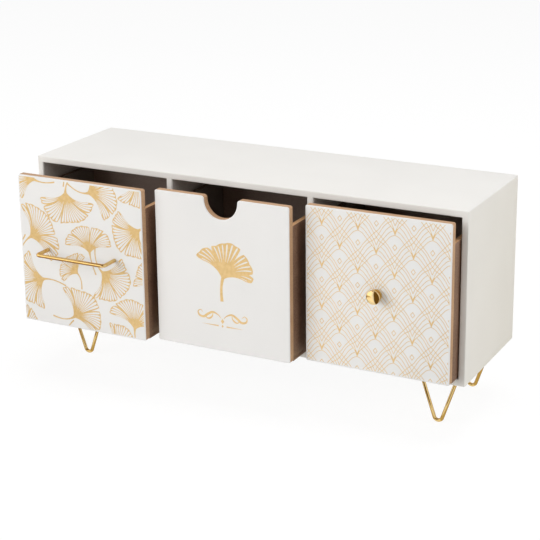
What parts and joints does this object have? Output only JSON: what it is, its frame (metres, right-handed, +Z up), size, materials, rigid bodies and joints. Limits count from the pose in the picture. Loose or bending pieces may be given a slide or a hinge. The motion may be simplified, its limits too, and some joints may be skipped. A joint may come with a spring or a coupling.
{
  "type": "tabletop drawer chest",
  "caption": "Low wide tabletop chest of small drawers side by side on bent wire legs, with a bar handle, a finger notch and a round knob.",
  "frame": {"origin": "on the table under the middle of the object's box at rest, with the drawers pulled out as they stand", "axes": "+X along the chest to the right seen from the front, +Y from the drawers to the back, +Z up"},
  "size_m": [0.38, 0.1652, 0.179],
  "materials": {
    "white_paint": "satin white paint on fibreboard",
    "white_front": "satin white paint on fibreboard, raw edges",
    "raw_board": "raw sawn fibreboard",
    "brass_wire": "polished brass plating on steel wire",
    "brass_plate": "brass plating on steel",
    "brass_knob": "polished turned brass",
    "zinc_steel": "zinc plated"
  },
  "bodies": {
    "cabinet": {"cabinet_top": "white_paint", "cabinet_bottom": "white_paint", "cabinet_left_end": "white_paint", "cabinet_right_end": "white_paint", "cabinet_left_divider": "white_paint", "cabinet_right_divider": "white_paint", "cabinet_back": "white_paint", "leg_wire_front_left": "brass_wire", "leg_wire_front_right": "brass_wire", "leg_wire_rear_left": "brass_wire", "leg_wire_rear_right": "brass_wire", "leg_plate_front_left": "brass_plate", "leg_plate_front_right": "brass_plate", "leg_plate_rear_left": "brass_plate", "leg_plate_rear_right": "brass_plate", "leg_screws": "brass_plate"},
    "left_drawer": {"left_drawer_front": "white_front", "left_drawer_floor": "raw_board", "left_drawer_left_side": "raw_board", "left_drawer_right_side": "raw_board", "left_drawer_back": "raw_board", "bar_handle": "brass_wire", "handle_nuts": "zinc_steel"},
    "middle_drawer": {"middle_drawer_front": "white_front", "middle_drawer_floor": "raw_board", "middle_drawer_left_side": "raw_board", "middle_drawer_right_side": "raw_board", "middle_drawer_back": "raw_board"},
    "right_drawer": {"right_drawer_front": "white_front", "right_drawer_floor": "raw_board", "right_drawer_left_side": "raw_board", "right_drawer_right_side": "raw_board", "right_drawer_back": "raw_board", "knob": "brass_knob", "knob_screw": "zinc_steel"}
  },
  "joints": [
    {"name": "left_drawer_slide", "type": "slide", "parent": "cabinet", "child": "left_drawer", "axis": [0, -1, 0], "range_m": [-0.0367, 0.0353]},
    {"name": "middle_drawer_slide", "type": "slide", "parent": "cabinet", "child": "middle_drawer", "axis": [0, -1, 0], "range_m": [-0.0284, 0.0436]},
    {"name": "right_drawer_slide", "type": "slide", "parent": "cabinet", "child": "right_drawer", "axis": [0, -1, 0], "range_m": [-0.0159, 0.0561]}
  ]
}
